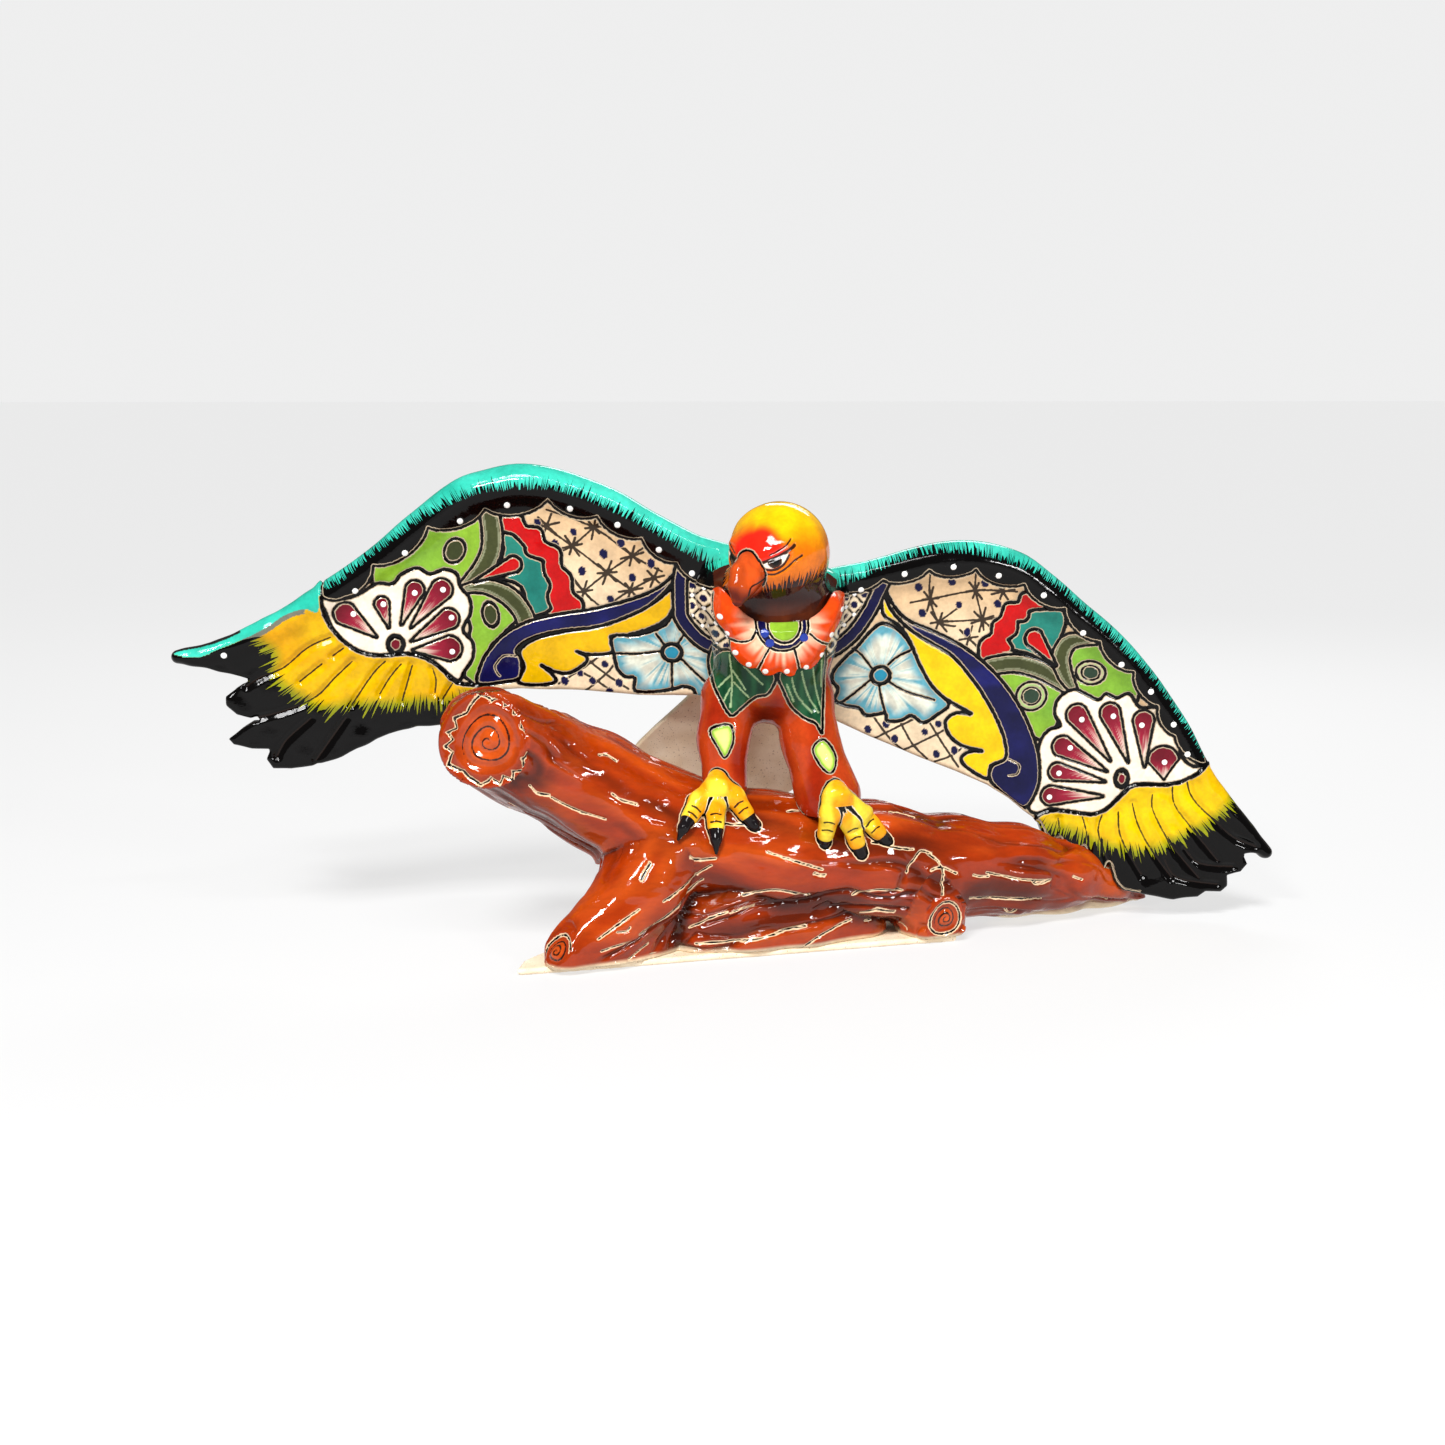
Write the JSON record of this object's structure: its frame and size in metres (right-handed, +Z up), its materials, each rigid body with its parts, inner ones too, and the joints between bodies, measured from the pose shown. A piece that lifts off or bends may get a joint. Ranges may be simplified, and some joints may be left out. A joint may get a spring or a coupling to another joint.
{
  "type": "glazed clay eagle on a log",
  "caption": "Hand-painted, glazed clay eagle with spread wings, perched on a hollow sloping log; rests on a flat slab.",
  "frame": {"origin": "on the floor under the log, in the underside of the base slab", "axes": "+X across the wings to the right as seen from the painted front, -Y out of the painted front, +Z up"},
  "size_m": [0.7266, 0.178, 0.3037],
  "materials": {
    "bare_clay": "matt",
    "bark_glaze": "gloss",
    "sawn_glaze": "gloss",
    "panel_glaze": "gloss",
    "teal_glaze": "gloss",
    "feather_glaze": "gloss",
    "head_glaze": "gloss",
    "neck_glaze": "gloss",
    "beak_glaze": "gloss",
    "collar_glaze": "gloss",
    "foot_glaze": "gloss",
    "claw_glaze": "gloss"
  },
  "bodies": {
    "root": {"base_slab": "bare_clay", "log_front_shell": "bark_glaze", "log_back_shell": "bark_glaze", "log_left_sawn_end": "sawn_glaze", "log_right_taper": "bark_glaze", "root_left": "bark_glaze", "root_left_sawn_end": "sawn_glaze", "root_front": "bark_glaze", "root_right": "bark_glaze", "root_right_sawn_end": "sawn_glaze", "root_rear": "bark_glaze", "torso_front_shell": "panel_glaze", "torso_back_shell": "bark_glaze", "neck_ring": "neck_glaze", "head_shell": "head_glaze", "beak_upper": "beak_glaze", "beak_lower": "beak_glaze", "petal_collar": "collar_glaze", "leg_left": "bark_glaze", "leg_right": "bark_glaze", "foot_left": "foot_glaze", "foot_right": "foot_glaze", "claws_left": "claw_glaze", "claws_right": "claw_glaze", "wing_left_panel": "panel_glaze", "wing_left_coil": "teal_glaze", "wing_left_feathers": "feather_glaze", "wing_right_panel": "panel_glaze", "wing_right_coil": "teal_glaze", "wing_right_feathers": "feather_glaze", "tail_fan": "bare_clay"}
  },
  "joints": []
}
